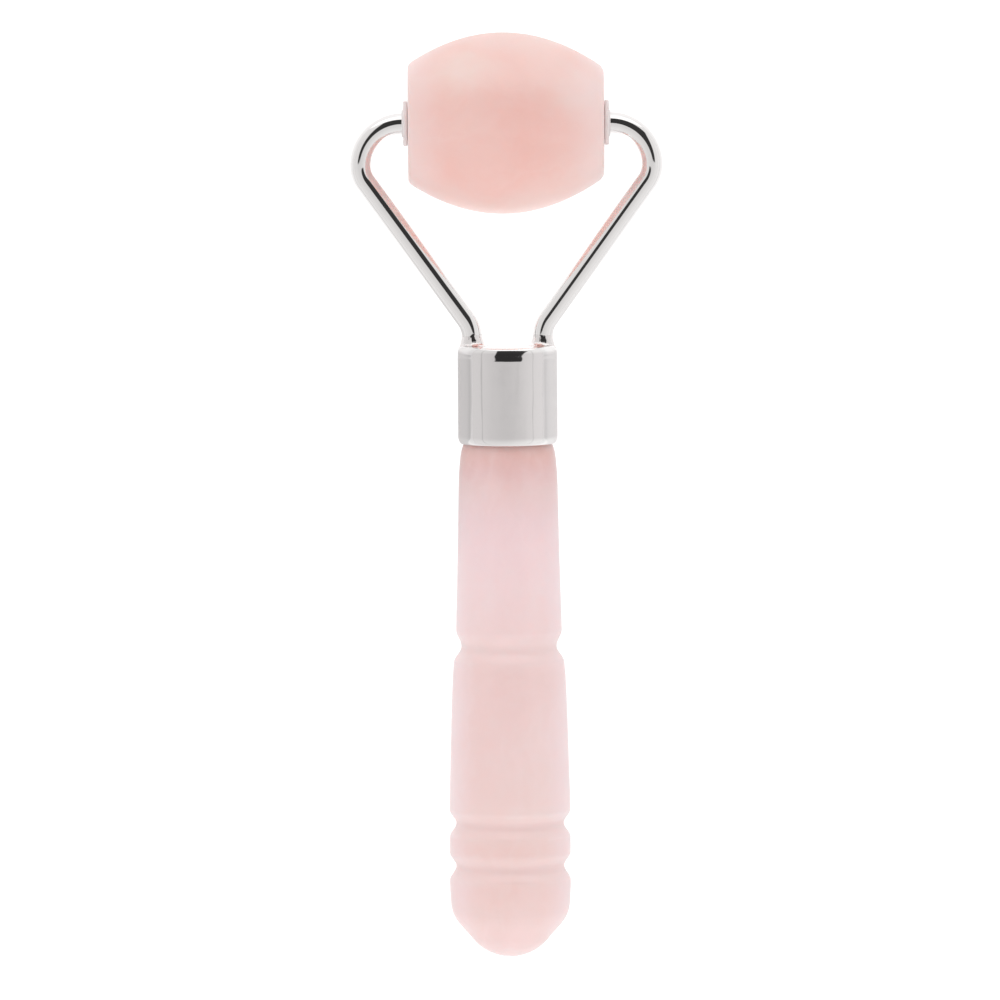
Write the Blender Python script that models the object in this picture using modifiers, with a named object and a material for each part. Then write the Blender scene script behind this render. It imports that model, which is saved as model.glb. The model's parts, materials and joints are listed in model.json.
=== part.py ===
"""Single-head face roller in rose quartz.

A turned stone handle, a plated ferrule, two bent wire arms and a barrel-shaped
stone that spins between them on two flanged plastic bushes.

Everything is first laid out upright, in millimetres: the handle's axis is
local +Z with the tip of the handle at height 0, and the roller's axis runs
along X. The empty "resting_pose" then lays the finished tool on its back on
the table (Z = 0), where it touches at the stone barrel and at the bulb at the
end of the handle, with the barrel towards +Y.
"""

import math

import bmesh
import bpy

MM = 0.001

# ---------------------------------------------------------------- dimensions
# stone barrel
BARREL_R = 10.92          # largest radius
BARREL_HALF = 11.79       # half of its length along X
BARREL_CROWN_X = -0.40    # the hand-ground crown sits a little left of middle
BARREL_BOW = 17.20        # the side bows as x^2 / (2 * BARREL_BOW)
BARREL_EDGE = 0.55        # rounding where side meets end face
BARREL_BORE = 2.00        # radius of the bore for the bushes
AXIS_H = 100.68           # height of the roller's axis over the handle's tip

# flanged bushes, pressed into the bore from each end
BUSH_SLEEVE_R = 1.95
BUSH_SLEEVE_L = 4.60
BUSH_FLANGE_R = 2.70
BUSH_FLANGE_T = 0.55
BUSH_FACE_GAP = 0.05
BUSH_COLLAR_R = 1.62
BUSH_COLLAR_T = 0.16
RUNNING_GAP = 0.06        # radial, between wire and bush

# wire arms
WIRE_R = 1.25
STUB_END_X = 8.30         # inner end of the axle stub
CORNER_START_X = 12.50    # where the stub leaves its straight run
CORNER_R1 = 5.04          # from the stub round to straight down
CORNER_R2 = 3.48          # from straight down to the slope
SLOPE = math.radians(35.9)
ROOT_X = 4.25             # wire centre where it enters the ferrule
ROOT_R = 3.60             # bend back to vertical above the ferrule

# ferrule
FERRULE_R = 5.98
FERRULE_BOTTOM = 62.06
FERRULE_TOP = 73.91
FERRULE_TOP_EDGE = 0.45
FERRULE_RIM_EDGE = 0.55
FERRULE_BORE = 5.45
FERRULE_HEAD_T = 3.60     # solid head that the wires are brazed into
SOCKET_DEPTH = 2.55
SOCKET_GAP = 0.08
WIRE_END_GAP = 0.12

# braze fillets round the wire roots
FILLET_R = 1.64
FILLET_H = 1.05
FILLET_GAP = 0.04

# handle: a lathe template of heights and radii without its coves
TIP_R = 5.88
TIP_H = 2.30
HANDLE_TEMPLATE = [
    (2.9, 5.17), (3.9, 6.07), (4.6, 6.58), (5.4, 6.96), (6.4, 7.17),
    (7.6, 7.25), (9.2, 7.30), (12.0, 7.29), (14.2, 7.30), (18.5, 7.28),
    (22.5, 7.18), (29.8, 6.97), (34.0, 6.80), (36.4, 6.60), (38.4, 6.42),
    (41.0, 6.35), (45.5, 6.22), (52.7, 6.04), (56.5, 5.97), (58.5, 5.90),
    (60.0, 5.78), (61.0, 5.65), (61.9, 5.39), (62.5, 5.18), (63.2, 5.05),
]
# coves: height of the lowest line, depth, reach towards the tip, reach upwards
COVES = [
    (10.98, 0.78, 1.75, 1.65),
    (16.17, 0.80, 1.75, 1.65),
    (37.45, 0.73, 1.80, 2.20),
]
TENON_R = 5.05
TENON_TOP = 69.70
TENON_CHAMFER = 0.50

# adhesive between tenon and ferrule
BOND_IN = 5.10
BOND_OUT = 5.39
BOND_FROM = 63.60
BOND_CAP_FROM = 69.76

# how finely round things are divided
HANDLE_SIDES = 40
BARREL_SIDES = 48
FERRULE_SIDES = 48
SMALL_SIDES = 24
COVE_STEPS = 8


# ------------------------------------------------------------------ profiles
def template_radius(h):
    """Smooth curve through the lathe template's stations (Hermite)."""
    pts = [(TIP_H, math.sqrt(2 * TIP_R * TIP_H - TIP_H ** 2))] + HANDLE_TEMPLATE
    n = len(pts)
    slopes = []
    for i in range(n):
        if i == 0:
            slopes.append((TIP_R - TIP_H) / pts[0][1])
        elif i == n - 1:
            slopes.append(0.0)
        else:
            a = (pts[i][1] - pts[i - 1][1]) / (pts[i][0] - pts[i - 1][0])
            b = (pts[i + 1][1] - pts[i][1]) / (pts[i + 1][0] - pts[i][0])
            slopes.append(0.0 if a * b < 0 else 2 * a * b / (a + b) if a + b else 0.0)
    for i in range(n - 1):
        h0, r0 = pts[i]
        h1, r1 = pts[i + 1]
        if h <= h1 or i == n - 2:
            d = h1 - h0
            t = (h - h0) / d
            return (
                r0 * (1 + 2 * t) * (1 - t) ** 2
                + slopes[i] * d * t * (1 - t) ** 2
                + r1 * t * t * (3 - 2 * t)
                + slopes[i + 1] * d * t * t * (t - 1)
            )
    return pts[-1][1]


def handle_radius(h):
    """Radius of the handle at a height above its tip, below the tenon."""
    if h <= TIP_H:
        return math.sqrt(max(0.0, 2 * TIP_R * h - h * h))
    r = template_radius(h)
    for centre, depth, below, above in COVES:
        t = (h - centre) / (above if h > centre else below)
        if abs(t) < 1:
            r -= depth * 0.5 * (1 + math.cos(math.pi * t))
    return r


def handle_heights():
    """Heights where the handle's profile gets a point: closer in the coves."""
    heights = []
    steps = 5
    top = math.acos(1 - TIP_H / TIP_R)
    for i in range(1, steps + 1):
        heights.append(TIP_R * (1 - math.cos(top * i / steps)))
    for centre, _, below, above in COVES:
        for i in range(COVE_STEPS + 1):
            t = -1 + 2 * i / COVE_STEPS
            heights.append(centre + t * (above if t > 0 else below))
    for h, _ in HANDLE_TEMPLATE:
        if all(not (c - b - 0.3 < h < c + a + 0.3) for c, _, b, a in COVES):
            heights.append(h)
    return sorted(heights)


def handle_profile():
    """Closed at both ends on the axis, from the tenon's top down to the tip."""
    down = [
        (0.0, TENON_TOP),
        (TENON_R - TENON_CHAMFER, TENON_TOP),
        (TENON_R, TENON_TOP - TENON_CHAMFER),
    ]
    down += [(handle_radius(h), h) for h in reversed(handle_heights())]
    down.append((0.0, 0.0))
    return down


def barrel_radius(x):
    return BARREL_R - (x - BARREL_CROWN_X) ** 2 / (2 * BARREL_BOW)


def edge_arc(corner, way_in, way_out, radius, steps):
    """Points of a fillet that starts radius before a corner and ends after it."""
    cx, cy = corner
    pts = []
    for i in range(steps + 1):
        t = i / steps * math.pi / 2
        a = radius * (1 - math.sin(t))
        b = radius * (1 - math.cos(t))
        pts.append(
            (cx - way_in[0] * a + way_out[0] * b, cy - way_in[1] * a + way_out[1] * b)
        )
    return pts


def barrel_profile():
    """Closed ring of (radius, distance along the axis), outer side first."""
    e = BARREL_EDGE
    pts = []
    pts += edge_arc((barrel_radius(BARREL_HALF), BARREL_HALF), (1, 0), (0, -1), e, 4)
    top, bottom = BARREL_HALF - e, -BARREL_HALF + e
    for start, end, n in ((top, BARREL_CROWN_X, 8), (BARREL_CROWN_X, bottom, 8)):
        for i in range(1 if start == top else 0, n):
            x = start + (end - start) * i / n
            pts.append((barrel_radius(x), x))
    pts += edge_arc((barrel_radius(-BARREL_HALF), -BARREL_HALF), (0, -1), (-1, 0), e, 4)
    # the side keeps its bow through the rounded edges
    pts = [(min(r, barrel_radius(x)), x) for r, x in pts]
    pts += [(BARREL_BORE + 0.15, -BARREL_HALF), (BARREL_BORE, -BARREL_HALF + 0.15)]
    pts += [(BARREL_BORE, BARREL_HALF - 0.15), (BARREL_BORE + 0.15, BARREL_HALF)]
    return pts


def bush_profile():
    """Closed ring; its axis points out of the stone, 0 at the stone's face."""
    bore = WIRE_R + RUNNING_GAP
    face = BUSH_FACE_GAP
    out = face + BUSH_FLANGE_T
    c = 0.12
    return [
        (bore + 0.05, out + BUSH_COLLAR_T),
        (BUSH_COLLAR_R - 0.06, out + BUSH_COLLAR_T),
        (BUSH_COLLAR_R, out + BUSH_COLLAR_T - 0.06),
        (BUSH_COLLAR_R, out),
        (BUSH_FLANGE_R - c, out),
        (BUSH_FLANGE_R, out - c),
        (BUSH_FLANGE_R, face + c),
        (BUSH_FLANGE_R - c, face),
        (BUSH_SLEEVE_R, face),
        (BUSH_SLEEVE_R, -BUSH_SLEEVE_L + 0.3),
        (BUSH_SLEEVE_R - 0.2, -BUSH_SLEEVE_L),
        (bore, -BUSH_SLEEVE_L),
        (bore, out + BUSH_COLLAR_T - 0.05),
    ]


def ferrule_profile():
    """A cup, open below: from the middle of its top, down and back inside."""
    h = FERRULE_TOP - FERRULE_BOTTOM
    roof = h - FERRULE_HEAD_T
    pts = [(0.0, h)]
    pts += edge_arc((FERRULE_R, h), (1, 0), (0, -1), FERRULE_TOP_EDGE, 4)
    pts += edge_arc((FERRULE_R, 0.0), (0, -1), (-1, 0), FERRULE_RIM_EDGE - 0.1, 4)
    pts += [(FERRULE_BORE, 0.05), (FERRULE_BORE, roof), (0.0, roof)]
    return pts


def bond_profile():
    """Adhesive: a thin sleeve with a closed cap under the ferrule's head."""
    top = FERRULE_TOP - FERRULE_HEAD_T - 0.06
    return [
        (0.0, top),
        (BOND_OUT, top),
        (BOND_OUT, BOND_FROM),
        (BOND_IN, BOND_FROM),
        (BOND_IN, BOND_CAP_FROM),
        (0.0, BOND_CAP_FROM),
    ]


def fillet_profile():
    """Closed ring with a hollow flank, lying on the ferrule's top."""
    inner = WIRE_R + RUNNING_GAP
    steps = 5
    pts = [(inner, FILLET_H), (inner + 0.06, FILLET_H)]
    for i in range(1, steps + 1):
        t = i / steps
        pts.append(
            (
                inner + 0.06 + (FILLET_R - inner - 0.06) * (1 - math.cos(t * math.pi / 2)),
                FILLET_H - (FILLET_H - 0.10) * math.sin(t * math.pi / 2),
            )
        )
    pts += [(FILLET_R, 0.0), (inner, 0.0)]
    return pts


def arm_path(side):
    """Centre line of a wire arm from its axle stub to its end in the ferrule.

    side is -1 for the left arm and +1 for the right one.
    """
    pts = [(STUB_END_X, AXIS_H), (CORNER_START_X, AXIS_H)]
    cx, cz = CORNER_START_X, AXIS_H - CORNER_R1
    for i in range(1, 11):
        a = math.pi / 2 * i / 10
        pts.append((cx + CORNER_R1 * math.sin(a), cz + CORNER_R1 * math.cos(a)))
    cx = CORNER_START_X + CORNER_R1 - CORNER_R2
    for i in range(1, 6):
        a = SLOPE * i / 5
        pts.append((cx + CORNER_R2 * math.cos(a), cz - CORNER_R2 * math.sin(a)))
    x_slope, z_slope = pts[-1]
    bend_x = ROOT_X + ROOT_R * (1 - math.cos(SLOPE))
    bend_z = z_slope - (x_slope - bend_x) / math.tan(SLOPE)
    root_z = bend_z - ROOT_R * math.sin(SLOPE)
    for i in range(0, 6):
        a = SLOPE * (1 - i / 5)
        pts.append(
            (ROOT_X + ROOT_R * (1 - math.cos(a)), root_z + ROOT_R * math.sin(a))
        )
    pts.append((ROOT_X, FERRULE_TOP - SOCKET_DEPTH + WIRE_END_GAP))
    return [(side * x, 0.0, z) for x, z in pts]


# -------------------------------------------------------------- resting pose
def resting_slope():
    """Angle between handle and table when barrel and handle both touch it."""
    sample = [(handle_radius(h), h) for h in handle_heights()]

    def gap(a):
        low = min(h * math.sin(a) - r * math.cos(a) for r, h in sample)
        return low - (AXIS_H * math.sin(a) - BARREL_R)

    lo, hi = 0.0, math.radians(10)
    for _ in range(60):
        mid = (lo + hi) / 2
        if gap(mid) > 0:
            lo = mid
        else:
            hi = mid
    return (lo + hi) / 2


def resting_offset(a):
    """Moves the tool so that its box is centred over the origin, on Z = 0."""
    near = min(
        h * math.cos(a) - handle_radius(h) * math.sin(a) for h in [0.0] + handle_heights()
    )
    far = AXIS_H * math.cos(a) + BARREL_R
    return (0.0, -(near + far) / 2 * MM, (BARREL_R - AXIS_H * math.sin(a)) * MM)


# ------------------------------------------------------------------ building
def clear():
    for o in list(bpy.data.objects):
        bpy.data.objects.remove(o, do_unlink=True)


def collection(name):
    c = bpy.data.collections.new(name)
    bpy.context.scene.collection.children.link(c)
    return c


def material(name, colour, roughness, metallic=0.0, alpha=1.0):
    m = bpy.data.materials.new(name)
    m.use_nodes = True
    b = m.node_tree.nodes["Principled BSDF"]
    b.inputs["Base Color"].default_value = (*colour, 1.0)
    b.inputs["Roughness"].default_value = roughness
    b.inputs["Metallic"].default_value = metallic
    b.inputs["Alpha"].default_value = alpha
    m.diffuse_color = (*colour, 1.0)
    return m


def smooth(mesh, degrees=35):
    mesh.shade_smooth()
    mesh.set_sharp_from_angle(angle=math.radians(degrees))


def place(obj, parent, where, at=(0, 0, 0), turn=(0, 0, 0)):
    where.objects.link(obj)
    obj.parent = parent
    obj.location = [v * MM for v in at]
    obj.rotation_euler = turn
    return obj


def turned(name, profile, closed, sides, mat, parent, where, at=(0, 0, 0), turn=(0, 0, 0)):
    """A lathe-turned piece: a profile of (radius, height) and a Screw modifier."""
    mesh = bpy.data.meshes.new(name)
    verts = [(r * MM, 0.0, h * MM) for r, h in profile]
    edges = [(i, i + 1) for i in range(len(verts) - 1)]
    if closed:
        edges.append((len(verts) - 1, 0))
    mesh.from_pydata(verts, edges, [])
    mesh.materials.append(mat)
    obj = bpy.data.objects.new(name, mesh)
    place(obj, parent, where, at, turn)
    screw = obj.modifiers.new("turned", "SCREW")
    screw.axis = "Z"
    screw.angle = 2 * math.pi
    screw.screw_offset = 0.0
    screw.steps = sides
    screw.render_steps = sides
    screw.use_merge_vertices = True
    screw.merge_threshold = 0.00001
    screw.use_smooth_shade = True
    return obj


def wire(name, points, radius, mat, parent, where):
    """A round wire along a path, as a bevelled curve with filled caps."""
    curve = bpy.data.curves.new(name, "CURVE")
    curve.dimensions = "3D"
    curve.bevel_depth = radius * MM
    curve.bevel_resolution = 4
    curve.use_fill_caps = True
    spline = curve.splines.new("POLY")
    spline.points.add(len(points) - 1)
    for p, xyz in zip(spline.points, points):
        p.co = (*[v * MM for v in xyz], 1.0)
    spline.use_smooth = True
    curve.materials.append(mat)
    obj = bpy.data.objects.new(name, curve)
    return place(obj, parent, where)


def drill(name, radius, depth, parent, where, at):
    """A hidden cutter for a socket, as a closed cylinder."""
    mesh = bpy.data.meshes.new(name)
    bm = bmesh.new()
    bmesh.ops.create_cone(
        bm,
        cap_ends=True,
        segments=SMALL_SIDES,
        radius1=radius * MM,
        radius2=radius * MM,
        depth=depth * MM,
    )
    bm.to_mesh(mesh)
    bm.free()
    obj = bpy.data.objects.new(name, mesh)
    place(obj, parent, where, at)
    obj.hide_render = True
    obj.display_type = "WIRE"
    return obj


def main():
    clear()
    parts = collection("face_roller")
    cutters = collection("cutters")

    quartz = material("rose_quartz_roller", (0.86, 0.56, 0.50), 0.18)
    quartz_grip = material("rose_quartz_handle", (0.88, 0.66, 0.65), 0.25)
    nylon = material("bush_nylon", (0.92, 0.84, 0.82), 0.30)
    chrome = material("chrome_plate", (0.80, 0.79, 0.79), 0.06, 1.0)
    braze = material("plated_braze", (0.74, 0.72, 0.72), 0.14, 1.0)
    adhesive = material("cured_epoxy", (0.78, 0.74, 0.64), 0.35)

    slope = resting_slope()
    pose = bpy.data.objects.new("resting_pose", None)
    parts.objects.link(pose)
    pose.empty_display_size = 0.01
    pose.rotation_euler = (-math.pi / 2 + slope, 0.0, 0.0)
    pose.location = resting_offset(slope)

    # the roller: its pieces hang on an empty on the axis that they spin about
    axle = bpy.data.objects.new("roller_axis", None)
    parts.objects.link(axle)
    axle.empty_display_size = 0.005
    axle.parent = pose
    axle.location = (0.0, 0.0, AXIS_H * MM)
    axle.rotation_euler = (-slope, 0.0, 0.0)
    along_x = (0.0, math.pi / 2, 0.0)
    turned("roller_stone", barrel_profile(), True, BARREL_SIDES, quartz, axle, parts,
           turn=along_x)
    turned("bush_right", bush_profile(), True, SMALL_SIDES, nylon, axle, parts,
           at=(BARREL_HALF, 0, 0), turn=along_x)
    turned("bush_left", bush_profile(), True, SMALL_SIDES, nylon, axle, parts,
           at=(-BARREL_HALF, 0, 0), turn=(0.0, -math.pi / 2, 0.0))

    # the frame
    wire("frame_arm_left", arm_path(-1), WIRE_R, chrome, pose, parts)
    wire("frame_arm_right", arm_path(1), WIRE_R, chrome, pose, parts)
    ferrule = turned("ferrule", ferrule_profile(), False, FERRULE_SIDES, chrome, pose,
                     parts, at=(0, 0, FERRULE_BOTTOM))
    for side, word in ((-1, "left"), (1, "right")):
        # a blind socket, and the braze round the wire where it enters it
        cutter = drill("socket_" + word, WIRE_R + SOCKET_GAP, 2 * SOCKET_DEPTH, pose,
                       cutters, at=(side * ROOT_X, 0, FERRULE_TOP))
        cut = ferrule.modifiers.new("socket_" + word, "BOOLEAN")
        cut.operation = "DIFFERENCE"
        cut.solver = "EXACT"
        cut.object = cutter
        turned("braze_fillet_" + word, fillet_profile(), True, SMALL_SIDES, braze, pose,
               parts, at=(side * ROOT_X, 0, FERRULE_TOP + FILLET_GAP))

    # the handle and its adhesive
    turned("handle_stone", handle_profile(), False, HANDLE_SIDES, quartz_grip, pose, parts)
    turned("epoxy_bond", bond_profile(), False, SMALL_SIDES * 2, adhesive, pose, parts)


main()
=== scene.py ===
"""Looks of the rose quartz face roller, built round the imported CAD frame."""

import json
import math

import bmesh
import bpy
from mathutils import Matrix, Vector, noise


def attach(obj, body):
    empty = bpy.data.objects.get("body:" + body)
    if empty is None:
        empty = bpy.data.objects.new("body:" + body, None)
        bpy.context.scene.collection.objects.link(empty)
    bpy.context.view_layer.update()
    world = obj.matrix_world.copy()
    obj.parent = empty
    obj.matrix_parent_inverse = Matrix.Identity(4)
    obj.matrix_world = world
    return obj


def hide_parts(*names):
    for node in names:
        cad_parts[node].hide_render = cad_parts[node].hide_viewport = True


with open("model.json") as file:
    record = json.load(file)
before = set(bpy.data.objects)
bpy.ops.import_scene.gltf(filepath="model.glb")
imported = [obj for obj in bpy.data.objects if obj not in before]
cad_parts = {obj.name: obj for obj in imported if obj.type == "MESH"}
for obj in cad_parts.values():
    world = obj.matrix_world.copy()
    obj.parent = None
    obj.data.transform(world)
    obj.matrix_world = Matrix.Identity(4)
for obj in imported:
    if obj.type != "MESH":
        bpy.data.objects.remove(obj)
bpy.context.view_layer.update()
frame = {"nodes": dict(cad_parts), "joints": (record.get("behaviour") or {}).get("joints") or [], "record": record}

MM = 0.001

# ------------------------------------------------------------------ the frame
# The turned shapes are laid out upright, in millimetres, as the CAD source has
# them: the handle's axis is local +Z with its tip at height 0.
BARREL_R = 10.92
BARREL_HALF = 11.79
BARREL_CROWN_X = -0.40
BARREL_BOW = 17.20
BARREL_EDGE = 0.55
BARREL_BORE = 2.00
AXIS_H = 100.68

BUSH_SLEEVE_R = 1.95
BUSH_SLEEVE_L = 4.60
BUSH_FLANGE_R = 2.70
BUSH_FLANGE_T = 0.55
BUSH_FACE_GAP = 0.05
BUSH_COLLAR_R = 1.62
BUSH_COLLAR_T = 0.16
RUNNING_GAP = 0.06

WIRE_R = 1.25
STUB_END_X = 8.30
CORNER_START_X = 12.50
CORNER_R1 = 5.04
CORNER_R2 = 3.48
SLOPE = math.radians(35.9)
ROOT_X = 4.25
ROOT_R = 3.60

FERRULE_R = 5.98
FERRULE_BOTTOM = 62.06
FERRULE_TOP = 73.91
FERRULE_TOP_EDGE = 0.45
FERRULE_RIM_EDGE = 0.55
FERRULE_BORE = 5.45
FERRULE_HEAD_T = 3.60
SOCKET_DEPTH = 2.55
SOCKET_GAP = 0.08
WIRE_END_GAP = 0.12

FILLET_R = 1.64
FILLET_H = 1.05
TOP_ROUND = (0.47, 1.00)

TIP_R = 5.88
TIP_H = 2.30
HANDLE_TEMPLATE = [
    (2.9, 5.17), (3.9, 6.07), (4.6, 6.58), (5.4, 6.96), (6.4, 7.17),
    (7.6, 7.25), (9.2, 7.30), (12.0, 7.29), (14.2, 7.30), (18.5, 7.28),
    (22.5, 7.18), (29.8, 6.97), (34.0, 6.80), (36.4, 6.60), (38.4, 6.42),
    (41.0, 6.35), (45.5, 6.22), (52.7, 6.04), (56.5, 5.97), (58.5, 5.90),
    (60.0, 5.78), (61.0, 5.65), (61.9, 5.39), (62.5, 5.18), (63.2, 5.05),
]
COVES = [
    (10.98, 0.78, 1.75, 1.65),
    (16.17, 0.80, 1.75, 1.65),
    (37.45, 0.73, 1.80, 2.20),
]
TENON_R = 5.05
TENON_TOP = 69.70
TENON_CHAMFER = 0.50


def frame_pose():
    """World matrix of the upright layout, from the record's joint and grip axis."""
    joint = next(j for j in frame["joints"] if j["name"] == "roller_spin")
    grip = next(m for m in frame["record"]["mounts"] if m["name"] == "hand_grip")
    axis = Vector(joint["pos_m"])
    up = -Vector(grip["axis"]).normalized()
    x = Vector((1.0, 0.0, 0.0))
    y = up.cross(x)
    origin = axis - up * AXIS_H * MM
    m = Matrix.Identity(4)
    for i in range(3):
        m[i][0], m[i][1], m[i][2], m[i][3] = x[i], y[i], up[i], origin[i]
    return m, axis


# ------------------------------------------------------------------- profiles
def template_radius(h):
    """Smooth curve through the lathe template's stations (Hermite)."""
    pts = [(TIP_H, math.sqrt(2 * TIP_R * TIP_H - TIP_H ** 2))] + HANDLE_TEMPLATE
    n = len(pts)
    slopes = []
    for i in range(n):
        if i == 0:
            slopes.append((TIP_R - TIP_H) / pts[0][1])
        elif i == n - 1:
            slopes.append(0.0)
        else:
            a = (pts[i][1] - pts[i - 1][1]) / (pts[i][0] - pts[i - 1][0])
            b = (pts[i + 1][1] - pts[i][1]) / (pts[i + 1][0] - pts[i][0])
            slopes.append(0.0 if a * b < 0 else 2 * a * b / (a + b) if a + b else 0.0)
    for i in range(n - 1):
        h0, r0 = pts[i]
        h1, r1 = pts[i + 1]
        if h <= h1 or i == n - 2:
            d = h1 - h0
            t = (h - h0) / d
            return (
                r0 * (1 + 2 * t) * (1 - t) ** 2
                + slopes[i] * d * t * (1 - t) ** 2
                + r1 * t * t * (3 - 2 * t)
                + slopes[i + 1] * d * t * t * (t - 1)
            )
    return pts[-1][1]


def handle_radius(h):
    if h <= TIP_H:
        return math.sqrt(max(0.0, 2 * TIP_R * h - h * h))
    r = template_radius(h)
    for centre, depth, below, above in COVES:
        t = (h - centre) / (above if h > centre else below)
        if abs(t) < 1:
            r -= depth * 0.5 * (1 + math.cos(math.pi * t))
    return r


def handle_profile():
    """From the tenon's top down to the tip, finely divided."""
    heights = []
    top = math.acos(1 - TIP_H / TIP_R)
    steps = 16
    for i in range(1, steps + 1):
        heights.append(TIP_R * (1 - math.cos(top * i / steps)))
    h = TIP_H + 0.25
    while h < HANDLE_TEMPLATE[-1][0]:
        heights.append(h)
        near = min(
            abs(h - c) - (a if h > c else b) for c, _, b, a in COVES
        )
        h += 0.13 if near < 0.4 else 0.20 if h < 8 or h > 57 else 0.42
    heights.append(HANDLE_TEMPLATE[-1][0])
    down = [
        (0.0, TENON_TOP),
        (TENON_R - TENON_CHAMFER, TENON_TOP),
        (TENON_R - 0.15, TENON_TOP - 0.25),
        (TENON_R, TENON_TOP - TENON_CHAMFER),
    ]
    down += [(handle_radius(v), v) for v in reversed(heights)]
    down.append((0.0, 0.0))
    return down


def barrel_radius(x):
    return BARREL_R - (x - BARREL_CROWN_X) ** 2 / (2 * BARREL_BOW)


def edge_arc(corner, way_in, way_out, radius, steps):
    cx, cy = corner
    pts = []
    for i in range(steps + 1):
        t = i / steps * math.pi / 2
        a = radius * (1 - math.sin(t))
        b = radius * (1 - math.cos(t))
        pts.append(
            (cx - way_in[0] * a + way_out[0] * b, cy - way_in[1] * a + way_out[1] * b)
        )
    return pts


def barrel_fillet(side, radius, steps):
    """Arc that eases the bow into the end face at x = side * BARREL_HALF."""
    lo, hi = BARREL_HALF - 3.0, BARREL_HALF
    for _ in range(50):
        mid = (lo + hi) / 2
        slope = (side * mid - BARREL_CROWN_X) / BARREL_BOW * side
        nx = slope / math.hypot(slope, 1.0)
        if mid - radius * nx < BARREL_HALF - radius:
            lo = mid
        else:
            hi = mid
    x = (lo + hi) / 2
    slope = (side * x - BARREL_CROWN_X) / BARREL_BOW * side
    tilt = math.atan2(1.0, slope)
    cx = BARREL_HALF - radius
    cr = barrel_radius(side * x) - radius * math.sin(tilt)
    return x, [
        (cr + radius * math.sin(tilt * i / steps), side * (cx + radius * math.cos(tilt * i / steps)))
        for i in range(steps + 1)
    ]


def barrel_profile():
    """Closed ring of (radius, distance along the axis), outer side first."""
    x_right, right = barrel_fillet(1, 1.45, 16)
    x_left, left = barrel_fillet(-1, 1.00, 14)
    pts = list(right)
    n = 64
    for i in range(1, n):
        x = x_right + (-x_left - x_right) * i / n
        pts.append((barrel_radius(x), x))
    pts += list(reversed(left))
    face = [5.6, 4.4, 3.4, 2.8, 2.4]
    pts += [(r, -BARREL_HALF) for r in face]
    pts += [(BARREL_BORE + 0.15, -BARREL_HALF), (BARREL_BORE + 0.04, -BARREL_HALF + 0.04)]
    pts += [(BARREL_BORE, -BARREL_HALF + 0.15), (BARREL_BORE, -4.0), (BARREL_BORE, 4.0)]
    pts += [(BARREL_BORE, BARREL_HALF - 0.15), (BARREL_BORE + 0.04, BARREL_HALF - 0.04)]
    pts += [(BARREL_BORE + 0.15, BARREL_HALF)]
    pts += [(r, BARREL_HALF) for r in reversed(face)]
    return pts


def bush_profile():
    """Closed ring; its axis points out of the stone, 0 at the stone's face."""
    bore = WIRE_R + RUNNING_GAP
    face = BUSH_FACE_GAP
    out = face + BUSH_FLANGE_T
    pts = [(bore + 0.06, out + BUSH_COLLAR_T), (bore + 0.12, out + BUSH_COLLAR_T + 0.0)]
    pts += edge_arc((BUSH_COLLAR_R, out + BUSH_COLLAR_T), (1, 0), (0, -1), 0.07, 4)
    pts += [(BUSH_COLLAR_R + 0.01, out + 0.05), (BUSH_COLLAR_R + 0.06, out)]
    pts += [(BUSH_COLLAR_R + 0.4, out)]
    pts += edge_arc((BUSH_FLANGE_R, out), (1, 0), (0, -1), 0.16, 6)
    pts += edge_arc((BUSH_FLANGE_R, face), (0, -1), (-1, 0), 0.16, 6)
    pts += [
        (BUSH_SLEEVE_R + 0.3, face),
        (BUSH_SLEEVE_R, face),
        (BUSH_SLEEVE_R, -BUSH_SLEEVE_L + 0.3),
        (BUSH_SLEEVE_R - 0.2, -BUSH_SLEEVE_L),
        (bore, -BUSH_SLEEVE_L),
        (bore, out + BUSH_COLLAR_T - 0.06),
    ]
    return pts


def ferrule_profile():
    """The cup's lip is rolled in below, and its top is turned off softly."""
    h = FERRULE_TOP - FERRULE_BOTTOM
    roof = h - FERRULE_HEAD_T
    pts = [(0.0, h), (1.6, h), (3.2, h)]
    across, down = TOP_ROUND
    for i in range(19):
        t = math.pi / 2 * (1 - i / 18)
        pts.append((FERRULE_R - across * (1 - math.cos(t)), h - down * (1 - math.sin(t))))
    pts += [(FERRULE_R, h * t) for t in (0.82, 0.7, 0.55, 0.4, 0.25, 0.15)]
    n = 14
    for i in range(n + 1):
        t = i / n * math.pi / 2
        pts.append((FERRULE_R - 0.46 * (1 - math.cos(t)), 0.95 * (1 - math.sin(t))))
    pts += [(FERRULE_BORE, 0.04), (FERRULE_BORE, roof), (0.0, roof)]
    return pts


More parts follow.
